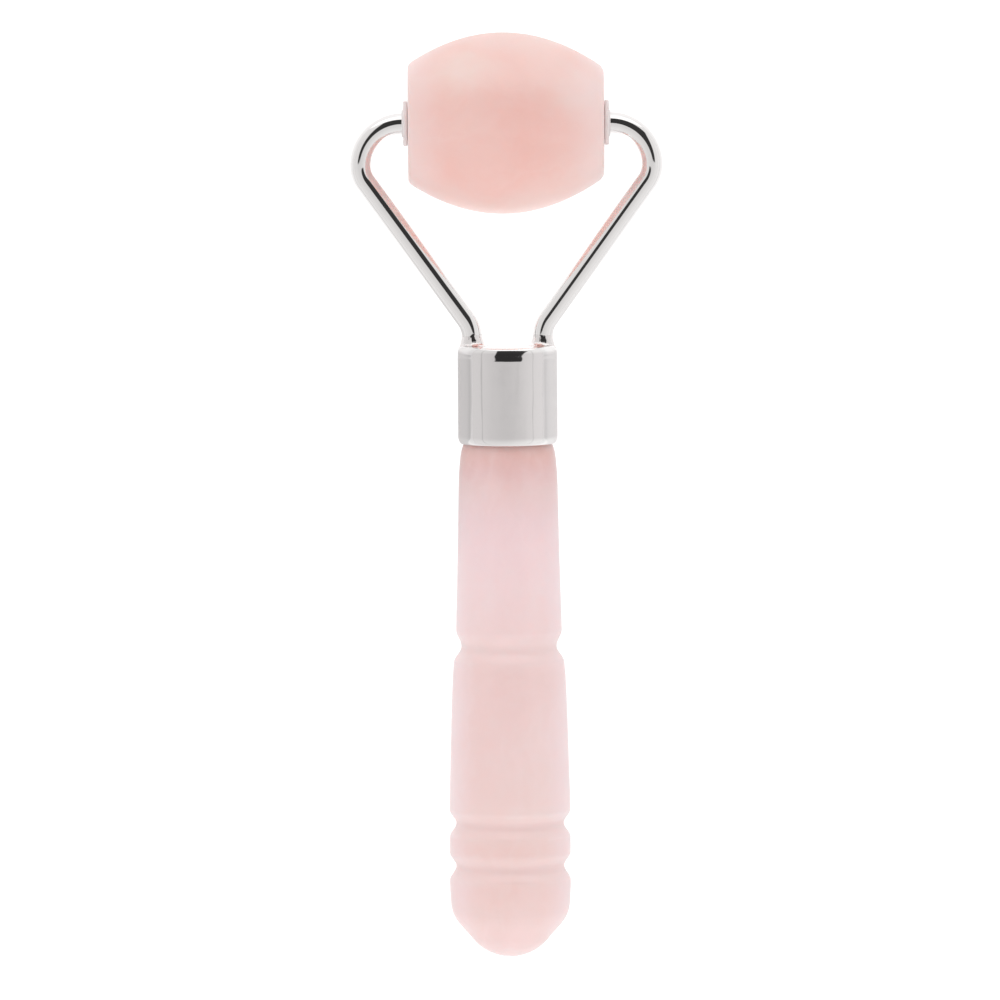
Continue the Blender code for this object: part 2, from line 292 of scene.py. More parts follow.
def arm_path(side):
    """Centre line of a wire arm, finely divided, from stub to its end."""
    pts = [(STUB_END_X, AXIS_H)]
    pts += [(STUB_END_X + (CORNER_START_X - STUB_END_X) * i / 8, AXIS_H) for i in range(1, 9)]
    n = 30
    cx, cz = CORNER_START_X, AXIS_H - CORNER_R1
    for i in range(1, n + 1):
        a = math.pi / 2 * i / n
        pts.append((cx + CORNER_R1 * math.sin(a), cz + CORNER_R1 * math.cos(a)))
    cx = CORNER_START_X + CORNER_R1 - CORNER_R2
    n = 14
    for i in range(1, n + 1):
        a = SLOPE * i / n
        pts.append((cx + CORNER_R2 * math.cos(a), cz - CORNER_R2 * math.sin(a)))
    x_slope, z_slope = pts[-1]
    bend_x = ROOT_X + ROOT_R * (1 - math.cos(SLOPE))
    bend_z = z_slope - (x_slope - bend_x) / math.tan(SLOPE)
    root_z = bend_z - ROOT_R * math.sin(SLOPE)
    n = 40
    for i in range(1, n):
        t = i / n
        pts.append((x_slope + (bend_x - x_slope) * t, z_slope + (bend_z - z_slope) * t))
    n = 14
    for i in range(0, n + 1):
        a = SLOPE * (1 - i / n)
        pts.append(
            (ROOT_X + ROOT_R * (1 - math.cos(a)), root_z + ROOT_R * math.sin(a))
        )
    end = FERRULE_TOP - SOCKET_DEPTH + WIRE_END_GAP
    n = 6
    last = pts[-1][1]
    pts += [(ROOT_X, last + (end - last) * i / n) for i in range(1, n + 1)]
    return [(side * x, z) for x, z in pts]


# --------------------------------------------------------------- mesh building
def mesh_object(name, bm, matrix, smooth_angle=40):
    bmesh.ops.remove_doubles(bm, verts=bm.verts, dist=1e-7)
    bmesh.ops.recalc_face_normals(bm, faces=bm.faces)
    mesh = bpy.data.meshes.new(name)
    bm.to_mesh(mesh)
    bm.free()
    mesh.shade_smooth()
    mesh.set_sharp_from_angle(angle=math.radians(smooth_angle))
    obj = bpy.data.objects.new(name, mesh)
    bpy.context.scene.collection.objects.link(obj)
    obj.matrix_world = matrix
    return obj


def lathe(profile, sides, closed, shape=None):
    """Turned solid about local Z; shape(r, h, angle) may move a point."""
    bm = bmesh.new()
    rings = []
    for r, h in profile:
        if r <= 1e-6:
            rings.append([bm.verts.new((0.0, 0.0, h * MM))])
            continue
        ring = []
        for k in range(sides):
            a = 2 * math.pi * k / sides
            rr, hh = shape(r, h, a) if shape else (r, h)
            ring.append(bm.verts.new((rr * math.cos(a) * MM, rr * math.sin(a) * MM, hh * MM)))
        rings.append(ring)
    pairs = list(zip(rings, rings[1:]))
    if closed:
        pairs.append((rings[-1], rings[0]))
    for a, b in pairs:
        if len(a) == 1 and len(b) == 1:
            continue
        for k in range(sides):
            j = (k + 1) % sides
            if len(a) == 1:
                bm.faces.new((a[0], b[k], b[j]))
            elif len(b) == 1:
                bm.faces.new((a[k], a[j], b[0]))
            else:
                bm.faces.new((a[k], a[j], b[j], b[k]))
    return bm


def sweep(path, radius, sides, chamfer=0.12):
    """Round wire along a planar path of (x, z) in mm, both ends eased."""
    bm = bmesh.new()
    pts = [Vector((x, 0.0, z)) for x, z in path]
    rings = []

    def ring(centre, normal, r):
        return [
            bm.verts.new(
                (
                    centre
                    + normal * r * math.cos(2 * math.pi * k / sides)
                    + Vector((0, 1, 0)) * r * math.sin(2 * math.pi * k / sides)
                )
                * MM
            )
            for k in range(sides)
        ]

    def tangent(i):
        a = pts[max(0, i - 1)]
        b = pts[min(len(pts) - 1, i + 1)]
        return (b - a).normalized()

    first = tangent(0)
    last = tangent(len(pts) - 1)
    side_of = lambda t: Vector((-t.z, 0.0, t.x))
    cap_in = bm.verts.new(pts[0] * MM)
    for f in (1.0, 0.6, 0.3):
        s = math.sqrt(max(0.0, 1 - f * f))
        rings.append(
            ring(pts[0] + first * chamfer * (1 - s), side_of(first), radius - chamfer * f)
        )
    for i in range(len(pts)):
        if i == 0:
            rings.append(ring(pts[0] + first * chamfer, side_of(first), radius))
        elif i == len(pts) - 1:
            rings.append(ring(pts[-1] - last * chamfer, side_of(last), radius))
        else:
            rings.append(ring(pts[i], side_of(tangent(i)), radius))
    for f in (0.3, 0.6, 1.0):
        s = math.sqrt(max(0.0, 1 - f * f))
        rings.append(
            ring(pts[-1] - last * chamfer * (1 - s), side_of(last), radius - chamfer * f)
        )
    cap_out = bm.verts.new(pts[-1] * MM)
    for k in range(sides):
        j = (k + 1) % sides
        bm.faces.new((cap_in, rings[0][j], rings[0][k]))
        for a, b in zip(rings, rings[1:]):
            bm.faces.new((a[k], a[j], b[j], b[k]))
        bm.faces.new((cap_out, rings[-1][k], rings[-1][j]))
    return bm


# -------------------------------------------------------------- node materials
class Net:
    """Short hand for building a node tree."""

    def __init__(self, tree):
        self.tree = tree
        tree.nodes.clear()

    def node(self, kind, **settings):
        n = self.tree.nodes.new(kind)
        for k, v in settings.items():
            setattr(n, k, v)
        return n

    def put(self, socket, value):
        if isinstance(value, bpy.types.NodeSocket):
            self.tree.links.new(value, socket)
        elif value is not None:
            socket.default_value = value

    def math(self, op, a, b=None, c=None, clamp=False):
        n = self.node("ShaderNodeMath", operation=op, use_clamp=clamp)
        self.put(n.inputs[0], a)
        self.put(n.inputs[1], b)
        if c is not None:
            self.put(n.inputs[2], c)
        return n.outputs[0]

    def vec(self, op, a, b=None, scale=None):
        n = self.node("ShaderNodeVectorMath", operation=op)
        self.put(n.inputs[0], a)
        if b is not None:
            self.put(n.inputs[1], b)
        if scale is not None:
            self.put(n.inputs["Scale"], scale)
        return n.outputs["Value"] if op in ("LENGTH", "DOT_PRODUCT", "DISTANCE") else n.outputs[0]

    def noise(self, vector, scale, detail=2.0, rough=0.5, distort=0.0, colour=False):
        n = self.node("ShaderNodeTexNoise", noise_dimensions="3D")
        self.put(n.inputs["Vector"], vector)
        n.inputs["Scale"].default_value = scale
        n.inputs["Detail"].default_value = detail
        n.inputs["Roughness"].default_value = rough
        n.inputs["Distortion"].default_value = distort
        return n.outputs["Color" if colour else "Fac"]

    def voronoi(self, vector, scale, feature="F1", randomness=1.0):
        n = self.node("ShaderNodeTexVoronoi", feature=feature)
        self.put(n.inputs["Vector"], vector)
        n.inputs["Scale"].default_value = scale
        n.inputs["Randomness"].default_value = randomness
        return n.outputs["Distance"]

    def span(self, value, a, b, low=0.0, high=1.0, smooth=True):
        n = self.node(
            "ShaderNodeMapRange", interpolation_type="SMOOTHSTEP" if smooth else "LINEAR"
        )
        n.clamp = True
        self.put(n.inputs[0], value)
        for i, v in ((1, a), (2, b), (3, low), (4, high)):
            self.put(n.inputs[i], v)
        return n.outputs[0]

    def mix(self, fac, a, b, blend="MIX"):
        n = self.node("ShaderNodeMix", data_type="RGBA", blend_type=blend)
        n.clamp_factor = True
        self.put(n.inputs["Factor"], fac)
        for key, v in ((6, a), (7, b)):
            if isinstance(v, (tuple, list)) and len(v) == 3:
                v = (*v, 1.0)
            self.put(n.inputs[key], v)
        return n.outputs[2]

    def ramp(self, fac, stops):
        n = self.node("ShaderNodeValToRGB")
        r = n.color_ramp
        while len(r.elements) < len(stops):
            r.elements.new(0.5)
        for e, (at, colour) in zip(r.elements, stops):
            e.position = at
            e.color = (*colour, 1.0) if len(colour) == 3 else colour
        self.put(n.inputs[0], fac)
        return n.outputs[0]

    def split(self, vector):
        n = self.node("ShaderNodeSeparateXYZ")
        self.put(n.inputs[0], vector)
        return n.outputs[0], n.outputs[1], n.outputs[2]

    def scaled(self, vector, xyz):
        n = self.node("ShaderNodeMapping", vector_type="POINT")
        self.put(n.inputs["Vector"], vector)
        n.inputs["Scale"].default_value = xyz
        return n.outputs[0]

    def bump(self, height, strength, distance, normal=None):
        n = self.node("ShaderNodeBump")
        n.inputs["Strength"].default_value = strength
        n.inputs["Distance"].default_value = distance
        self.put(n.inputs["Height"], height)
        if normal is not None:
            self.put(n.inputs["Normal"], normal)
        return n.outputs[0]

    def millimetres(self):
        """Object coordinates in millimetres."""
        c = self.node("ShaderNodeTexCoord")
        return self.vec("SCALE", c.outputs["Object"], scale=1000.0)


def new_material(name):
    m = bpy.data.materials.new(name)
    m.use_nodes = True
    return m, Net(m.node_tree)


def finish_material(net, shader):
    out = net.node("ShaderNodeOutputMaterial")
    net.tree.links.new(shader.outputs[0], out.inputs["Surface"])


def principled(net, **constants):
    b = net.node("ShaderNodeBsdfPrincipled")
    for k, v in constants.items():
        b.inputs[k.replace("_", " ")].default_value = v
    return b


def soft_blob(net, p, centre, radii, soft=1.0):
    """Soft blob: 1 at the centre, 0 beyond the radii (mm)."""
    d = net.vec("SUBTRACT", p, tuple(centre))
    d = net.scaled(d, tuple(1.0 / r for r in radii))
    return net.span(net.vec("LENGTH", d), 1.0, 1.0 - soft)


def barrel_quartz():
    m, n = new_material("rose_quartz_barrel_polished")
    p = n.millimetres()
    warp = n.vec("SCALE", n.vec("SUBTRACT", n.noise(p, 0.13, 3.0, 0.5, colour=True), (0.5, 0.5, 0.5)), scale=8.0)
    q = n.vec("ADD", p, warp)
    x, y, z = n.split(p)
    big = n.noise(q, 0.085, 2.0, 0.45)
    body = n.ramp(
        big,
        [
            (0.28, (0.864, 0.538, 0.488)),
            (0.50, (0.868, 0.580, 0.534)),
            (0.72, (0.870, 0.630, 0.588)),
        ],
    )
    # deeper pink patches at the middle of the front and back, paler ones towards the upper ends and the sides:
    # partly the stone's own clouding, partly painted light standing in for light passing through thick and thin
    # stone
    for centre, radii, amount, colour in (
        ((2.0, -0.5, 9.5), (8.5, 7.0, 7.0), 0.62, (0.858, 0.492, 0.440)),
        ((-2.0, 1.0, -9.5), (7.0, 8.0, 6.0), 0.50, (0.862, 0.522, 0.476)),
        ((-6.0, 6.3, 8.0), (7.0, 4.5, 5.0), 0.80, (0.866, 0.694, 0.648)),
        ((8.5, 5.0, 7.5), (6.0, 6.5, 6.0), 0.80, (0.872, 0.698, 0.670)),
        ((0.0, -10.0, 4.0), (12.0, 3.5, 6.0), 0.40, (0.846, 0.618, 0.568)),
        ((0.5, 10.5, 3.0), (9.0, 3.0, 6.0), 0.22, (0.840, 0.620, 0.580)),
        ((4.5, -7.0, -7.5), (8.0, 5.0, 5.0), 0.30, (0.850, 0.605, 0.560)),
        ((-7.0, 5.0, -7.0), (5.0, 6.0, 5.0), 0.45, (0.852, 0.645, 0.606)),
    ):
        body = n.mix(n.math("MULTIPLY", soft_blob(n, q, centre, radii), amount), body, colour)
    # thin veils: sheets of tiny inclusions, seen as paler wisps
    sheet = n.noise(n.scaled(q, (0.05, 0.15, 0.09)), 1.0, 3.0, 0.5)
    wisp = n.span(n.math("ABSOLUTE", n.math("SUBTRACT", sheet, 0.5)), 0.05, 0.0)
    body = n.mix(n.math("MULTIPLY", wisp, 0.10), body, (0.92, 0.70, 0.67))
    # fine mottling of the grain
    fine = n.noise(q, 0.8, 3.0, 0.55)
    body = n.mix(n.span(fine, 0.35, 0.70, 0.0, 0.07), body, (0.93, 0.70, 0.67))
    # healed cracks: very thin and faint
    crack = n.voronoi(n.vec("ADD", p, n.vec("SCALE", warp, scale=0.8)), 0.11, "DISTANCE_TO_EDGE")
    line = n.span(crack, 0.012, 0.0)
    line = n.math("MULTIPLY", line, n.span(n.noise(p, 0.12, 1.0), 0.54, 0.66))
    body = n.mix(n.math("MULTIPLY", line, 0.07), body, (0.94, 0.78, 0.76))
    # painted light: both rims are painted paler, standing in for light coming through the thin stone there
    painted_rim_glow = n.span(n.math("ABSOLUTE", x), BARREL_HALF - 5.0, BARREL_HALF - 0.3)
    body = n.mix(n.math("MULTIPLY", painted_rim_glow, 0.55), body, (0.880, 0.720, 0.712))
    # ground end faces are less polished than the rolling side
    r = n.vec("LENGTH", n.scaled(p, (0.0, 1.0, 1.0)))
    face = n.math("MULTIPLY", n.span(n.math("ABSOLUTE", x), BARREL_HALF - 0.06, BARREL_HALF - 0.01), n.span(r, 7.4, 6.6))
    rough = n.span(n.noise(p, 0.9, 4.0, 0.6), 0.3, 0.75, 0.29, 0.36)
    rough = n.math("ADD", rough, n.math("MULTIPLY", line, 0.02))
    rough = n.math("ADD", rough, n.math("MULTIPLY", face, 0.20))
    swirl = n.noise(p, 0.22, 2.0, 0.5)
    grain = n.noise(p, 3.5, 3.0, 0.6)
    lapped = n.math("MULTIPLY", n.noise(p, 9.0, 2.0, 0.6), n.math("MULTIPLY", face, 0.004))
    height = n.math("ADD", n.math("MULTIPLY", swirl, 0.022), n.math("MULTIPLY", grain, 0.0007))
    height = n.math("ADD", height, lapped)
    normal = n.bump(height, 0.7, MM)
    b = principled(
        n,
        IOR=1.544,
        Subsurface_Weight=0.55,
        Subsurface_Scale=0.004,
        Subsurface_Radius=(1.0, 0.60, 0.50),
        Coat_Weight=0.10,
        Coat_Roughness=0.22,
        Coat_IOR=1.5,
    )
    n.put(b.inputs["Base Color"], body)
    n.put(b.inputs["Roughness"], rough)
    n.put(b.inputs["Normal"], normal)
    finish_material(n, b)
    return m


# tones up the handle by height in mm; the darker bands at 9.3, 13.0 and 34.6 beside the coves are painted shade,
# and the tone darkens towards the ferrule from 53 up
HANDLE_TONES = [
    (0.0, (0.846, 0.642, 0.632)), (3.0, (0.853, 0.641, 0.621)), (7.0, (0.864, 0.650, 0.622)),
    (9.3, (0.856, 0.628, 0.600)), (11.2, (0.864, 0.655, 0.630)), (13.0, (0.856, 0.632, 0.604)),
    (15.2, (0.862, 0.655, 0.630)), (18.0, (0.876, 0.680, 0.658)), (25.0, (0.872, 0.676, 0.662)),
    (31.0, (0.864, 0.662, 0.650)), (34.6, (0.858, 0.648, 0.634)), (37.6, (0.868, 0.664, 0.656)),
    (41.0, (0.884, 0.682, 0.680)), (45.0, (0.890, 0.698, 0.706)), (50.0, (0.884, 0.682, 0.700)),
    (53.0, (0.852, 0.652, 0.668)), (56.5, (0.818, 0.618, 0.612)), (59.0, (0.780, 0.535, 0.528)),
    (61.5, (0.775, 0.485, 0.450)), (64.0, (0.720, 0.440, 0.405)),
]


def grip_quartz():
    m, n = new_material("rose_quartz_grip_polished")
    p = n.millimetres()
    warp = n.vec("SCALE", n.vec("SUBTRACT", n.noise(p, 0.13, 3.0, 0.5, colour=True), (0.5, 0.5, 0.5)), scale=6.0)
    q = n.vec("ADD", p, warp)
    x, y, h = n.split(p)
    qx, qy, qh = n.split(n.vec("ADD", p, n.vec("SCALE", warp, scale=0.55)))
    body = n.ramp(
        n.math("DIVIDE", qh, 64.0), [(at / 64.0, tone) for at, tone in HANDLE_TONES]
    )
    # painted light: the left and right flanks below h 50, fading out by h 57, are painted paler and more lilac,
    # standing in for the lighter edges of the stone
    painted_flank_light = n.math("MULTIPLY", n.span(n.math("ABSOLUTE", qx), 3.6, 6.8), n.span(qh, 57.0, 50.0))
    body = n.mix(n.math("MULTIPLY", painted_flank_light, 0.55), body, (0.905, 0.735, 0.765))
    # slow clouds through the length of the stone
    big = n.noise(n.scaled(q, (1.0, 1.0, 0.4)), 0.11, 2.0, 0.45)
    body = n.mix(n.span(big, 0.50, 0.75, 0.0, 0.28), body, (0.925, 0.740, 0.745))
    body = n.mix(n.span(big, 0.50, 0.25, 0.0, 0.30), body, (0.850, 0.570, 0.545))
    sheet = n.noise(n.scaled(q, (0.15, 0.10, 0.04)), 1.0, 3.0, 0.5)
    wisp = n.span(n.math("ABSOLUTE", n.math("SUBTRACT", sheet, 0.5)), 0.05, 0.0)
    body = n.mix(n.math("MULTIPLY", wisp, 0.09), body, (0.94, 0.78, 0.79))
    fine = n.noise(q, 0.7, 3.0, 0.55)
    body = n.mix(n.span(fine, 0.35, 0.70, 0.0, 0.07), body, (0.94, 0.78, 0.79))
    crack = n.voronoi(n.vec("ADD", p, n.vec("SCALE", warp, scale=0.8)), 0.10, "DISTANCE_TO_EDGE")
    line = n.span(crack, 0.012, 0.0)
    line = n.math("MULTIPLY", line, n.span(n.noise(p, 0.10, 1.0), 0.54, 0.66))
    body = n.mix(n.math("MULTIPLY", line, 0.07), body, (0.95, 0.82, 0.82))
    # painted light: the coves are painted lighter to offset the shade that falls in them; they are also less
    # polished than the rest
    cove = None
    for centre, _, below, above in COVES:
        c = n.math("MULTIPLY", n.span(h, centre - below, centre), n.span(h, centre + above, centre))
        cove = c if cove is None else n.math("MAXIMUM", cove, c)
    body = n.mix(n.math("MULTIPLY", cove, 0.60), body, (0.930, 0.765, 0.752))
    rough = n.span(n.noise(p, 0.9, 4.0, 0.6), 0.3, 0.75, 0.29, 0.37)
    rough = n.math("ADD", rough, n.math("MULTIPLY", cove, 0.12))
    swirl = n.noise(p, 0.20, 2.0, 0.5)
    grain = n.noise(p, 3.5, 3.0, 0.6)
    turned = n.math("MULTIPLY", n.noise(n.scaled(p, (0.05, 0.05, 5.0)), 1.0, 2.0, 0.5), cove)
    height = n.math("ADD", n.math("MULTIPLY", swirl, 0.020), n.math("MULTIPLY", grain, 0.0009))
    height = n.math("ADD", height, n.math("MULTIPLY", turned, 0.008))
    normal = n.bump(height, 0.7, MM)
    b = principled(
        n,
        IOR=1.544,
        Subsurface_Weight=0.55,
        Subsurface_Scale=0.004,
        Subsurface_Radius=(1.0, 0.68, 0.64),
        Coat_Weight=0.20,
        Coat_Roughness=0.16,
        Coat_IOR=1.5,
    )
    n.put(b.inputs["Base Color"], body)
    n.put(b.inputs["Roughness"], rough)
    n.put(b.inputs["Normal"], normal)
    finish_material(n, b)
    return m


def chrome(name, tint=(0.905, 0.890, 0.885), wave=0.010, wave_scale=0.35, brushed=None, blotch=0.0, bright_ends=None, stretch=1.0):
    m, n = new_material(name)
    p = n.millimetres()
    haze = n.noise(p, 0.5, 4.0, 0.6)
    body = n.mix(n.span(haze, 0.3, 0.75, 0.0, 0.5), tint, tuple(c * 0.955 for c in tint))
    spots = n.span(n.noise(p, 7.0, 2.0, 0.5), 0.66, 0.80)
    body = n.mix(n.math("MULTIPLY", spots, 0.25), body, tuple(c * 0.82 for c in tint))
    if bright_ends:
        # painted highlight: the two rims are painted brighter than the side
        x, y, z = n.split(p)
        ends = n.math("MAXIMUM", n.span(z, 1.1, 0.5), n.span(z, bright_ends - 0.75, bright_ends - 0.35))
        body = n.mix(ends, body, (0.93, 0.92, 0.915))
        # the tint darkens towards the cup's left (-x) side
        body = n.mix(n.span(n.math("ADD", x, n.math("MULTIPLY", haze, 2.0)), 6.5, -6.0, 0.0, 0.5), body, tuple(c * 0.90 for c in tint))
    rough = n.span(haze, 0.3, 0.75, 0.025, 0.075)
    rough = n.math("ADD", rough, n.math("MULTIPLY", spots, 0.10))
    height = n.math("MULTIPLY", n.noise(n.scaled(p, (1.0, 1.0, stretch)), wave_scale, 2.0, 0.5), wave)
    if bright_ends:
        # the turned top is flat; only the drawn side wall is uneven
        height = n.math("MULTIPLY", height, n.span(z, bright_ends - 0.95, bright_ends - 1.60))
    if brushed is not None:
        lines = n.noise(n.scaled(p, brushed), 1.0, 3.0, 0.6)
        height = n.math("ADD", height, n.math("MULTIPLY", lines, 0.0012))
        rough = n.math("ADD", rough, n.span(lines, 0.45, 0.75, 0.0, 0.05))
    if blotch:
        height = n.math("ADD", height, n.math("MULTIPLY", n.noise(p, 1.3, 3.0, 0.55), blotch))
    normal = n.bump(height, 1.0, MM)
    b = principled(n, Metallic=1.0)
    n.put(b.inputs["Base Color"], body)
    n.put(b.inputs["Roughness"], rough)
    n.put(b.inputs["Normal"], normal)
    finish_material(n, b)
    return m


def nylon():
    m, n = new_material("bush_nylon_natural")
    p = n.millimetres()
    milky = n.noise(p, 0.8, 3.0, 0.5)
    body = n.mix(n.span(milky, 0.3, 0.7), (0.95, 0.83, 0.82), (0.96, 0.90, 0.89))
    rough = n.span(n.noise(p, 2.5, 3.0, 0.6), 0.3, 0.7, 0.29, 0.42)
    rings = n.noise(n.scaled(p, (9.0, 9.0, 0.6)), 1.0, 2.0, 0.5)
    normal = n.bump(n.math("MULTIPLY", rings, 0.006), 1.0, MM)
    b = principled(
        n,
        IOR=1.53,
        Subsurface_Weight=0.35,
        Subsurface_Scale=0.001,
        Subsurface_Radius=(1.0, 0.85, 0.8),
        Transmission_Weight=0.10,
    )
    n.put(b.inputs["Base Color"], body)
    n.put(b.inputs["Roughness"], rough)
    n.put(b.inputs["Normal"], normal)
    finish_material(n, b)
    return m


def epoxy():
    m, n = new_material("epoxy_cured")
    p = n.millimetres()
    body = n.mix(n.span(n.noise(p, 0.9, 4.0, 0.6), 0.3, 0.7), (0.70, 0.62, 0.48), (0.82, 0.78, 0.68))
    bubbles = n.span(n.voronoi(p, 1.8, "F1"), 0.16, 0.10)
    body = n.mix(n.math("MULTIPLY", bubbles, 0.4), body, (0.90, 0.88, 0.82))
    rough = n.span(n.noise(p, 3.0, 2.0), 0.3, 0.7, 0.25, 0.42)
    normal = n.bump(n.math("MULTIPLY", bubbles, -0.03), 1.0, MM)
    b = principled(n, IOR=1.5, Transmission_Weight=0.15)
    n.put(b.inputs["Base Color"], body)
    n.put(b.inputs["Roughness"], rough)
    n.put(b.inputs["Normal"], normal)
    finish_material(n, b)
    return m


# ------------------------------------------------------------------ the pieces
POSE, AXIS = frame_pose()
ALONG_X = Matrix.Rotation(math.pi / 2, 4, "Y")


def local(x, y, z):
    return POSE @ Matrix.Translation((x * MM, y * MM, z * MM))


def finish_piece(obj, node, body, material):
    obj.data.materials.clear()
    obj.data.materials.append(material)
    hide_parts(node)
    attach(obj, body)
    return obj


def build_barrel(material):
    """Barrel about world X: local X runs along the axis."""

    def hand_ground(r, h, a):
        if r < 4.0:
            return r, h
        w = noise.noise(Vector((math.cos(a) * 1.3, math.sin(a) * 1.3, h * 0.16)))
        return r - 0.02 * (0.5 + 0.5 * w) * min(1.0, (r - 4.0) / 4.0), h

    bm = lathe(barrel_profile(), 160, True, hand_ground)
    bmesh.ops.transform(bm, matrix=ALONG_X, verts=bm.verts)
    obj = mesh_object("roller_barrel", bm, Matrix.Translation(AXIS))
    return finish_piece(obj, "roller_stone", "roller", material)


def build_bush(side, word, material):
    bm = lathe(bush_profile(), 96, True)
    turn = Matrix.Rotation(side * math.pi / 2, 4, "Y")
    at = Matrix.Translation(AXIS + Vector((side * BARREL_HALF * MM, 0, 0)))
    obj = mesh_object("flanged_bush_" + word, bm, at @ turn)
    return finish_piece(obj, "bush_" + word, "roller", material)


def build_arm(side, word, material):
    bm = sweep(arm_path(side), WIRE_R, 64)
    obj = mesh_object("wire_arm_" + word, bm, POSE.copy())
    return finish_piece(obj, "frame_arm_" + word, "handle_frame", material)


def build_ferrule(material):
    bm = lathe(ferrule_profile(), 192, False)
    obj = mesh_object("ferrule_cup", bm, local(0, 0, FERRULE_BOTTOM), 50)
    for side in (-1, 1):
        cut = bmesh.new()
        bmesh.ops.create_cone(
            cut,
            cap_ends=True,
            segments=64,
            radius1=(WIRE_R + SOCKET_GAP) * MM,
            radius2=(WIRE_R + SOCKET_GAP) * MM,
            depth=2 * SOCKET_DEPTH * MM,
        )
        cutter = mesh_object("socket_cutter", cut, local(side * ROOT_X, 0, FERRULE_TOP))
        mod = obj.modifiers.new("socket", "BOOLEAN")
        mod.operation = "DIFFERENCE"
        mod.solver = "EXACT"
        mod.object = cutter
        bpy.context.view_layer.update()
        dg = bpy.context.evaluated_depsgraph_get()
        done = bpy.data.meshes.new_from_object(obj.evaluated_get(dg))
        obj.modifiers.remove(mod)
        obj.data = done
        bpy.data.objects.remove(cutter, do_unlink=True)
    obj.data.shade_smooth()
    obj.data.set_sharp_from_angle(angle=math.radians(50))
    return finish_piece(obj, "ferrule", "handle_frame", material)


def settle(x, y):
    """Keep a point of the braze on the cup's top; how far the edge falls off there."""
    across, down = TOP_ROUND
    far = math.hypot(x, y)
    limit = FERRULE_R - 0.10
    if far > limit:
        x, y, far = x * limit / far, y * limit / far, limit
    t = max(0.0, (far - FERRULE_R + across) / across)
    return x, y, down * (1 - math.sqrt(1 - t * t))


def build_fillet(side, word, material):
    """Braze pulled up unevenly between the wire and the ferrule's top."""
    steps = 14
    inner = WIRE_R - 0.012
    lift = 0.0
    prof = []
    for i in range(steps + 1):
        t = i / steps
        prof.append((t, 1 - math.cos(t * math.pi / 2), 1 - math.sin(t * math.pi / 2)))
    bm = bmesh.new()
    sides = 96
    rings = []
    for t, outwards, down in prof:
        ring = []
        for k in range(sides):
            a = 2 * math.pi * k / sides
            c, s = math.cos(a), math.sin(a)
            # c = -side points at the middle of the ferrule
            towards_middle = 0.5 - 0.5 * c * side
            lump = noise.noise(Vector((c * 1.7 + side * 3.1, s * 1.7, 0.7)))
            lump2 = noise.noise(Vector((c * 3.6 + side * 7.7, s * 3.6, 2.1 + t)))
            reach = 0.42 + 0.56 * towards_middle ** 2 + 0.15 * lump + 0.08 * lump2
            tall = 1.36 + 0.24 * lump + 0.12 * lump2
            r = inner + 0.01 + reach * outwards
            z = lift + 0.012 + (tall - 0.012) * down
            px, py, fall = settle(side * ROOT_X + r * c, r * s)
            ring.append(bm.verts.new(((px - side * ROOT_X) * MM, py * MM, (z - fall) * MM)))
        rings.append(ring)
    foot_out = [bm.verts.new((v.co.x, v.co.y, v.co.z - 0.012 * MM)) for v in rings[-1]]
    foot_in = [
        bm.verts.new((inner * math.cos(2 * math.pi * k / sides) * MM, inner * math.sin(2 * math.pi * k / sides) * MM, 0.0))
        for k in range(sides)
    ]
    rings = [foot_in] + rings + [foot_out]
    for a, b in list(zip(rings, rings[1:])) + [(rings[-1], rings[0])]:
        for k in range(sides):
            j = (k + 1) % sides
            bm.faces.new((a[k], a[j], b[j], b[k]))
    obj = mesh_object("braze_" + word, bm, local(side * ROOT_X, 0, FERRULE_TOP + 0.004), 60)
    return finish_piece(obj, "braze_fillet_" + word, "handle_frame", material)


def build_handle(material):
    def hand_turned(r, h, a):
        if r < 1.0 or h > 62.5:
            return r, h
        w = noise.noise(Vector((math.cos(a) * 1.1, math.sin(a) * 1.1, h * 0.12)))
        drift = 0.0
        for centre, _, below, above in COVES:
            t = (h - centre) / (above if h > centre else below)
            if abs(t) < 1.3:
                drift += 0.05 * noise.noise(
                    Vector((math.cos(a) * 1.4 + centre, math.sin(a) * 1.4, 0.3))
                ) * (1 - (t / 1.3) ** 2)
        return r - 0.02 * (0.5 + 0.5 * w) * min(1.0, (r - 1.0) / 3.0), h + drift

    bm = lathe(handle_profile(), 144, False, hand_turned)
    obj = mesh_object("handle_grip", bm, POSE.copy())
    return finish_piece(obj, "handle_stone", "handle_frame", material)


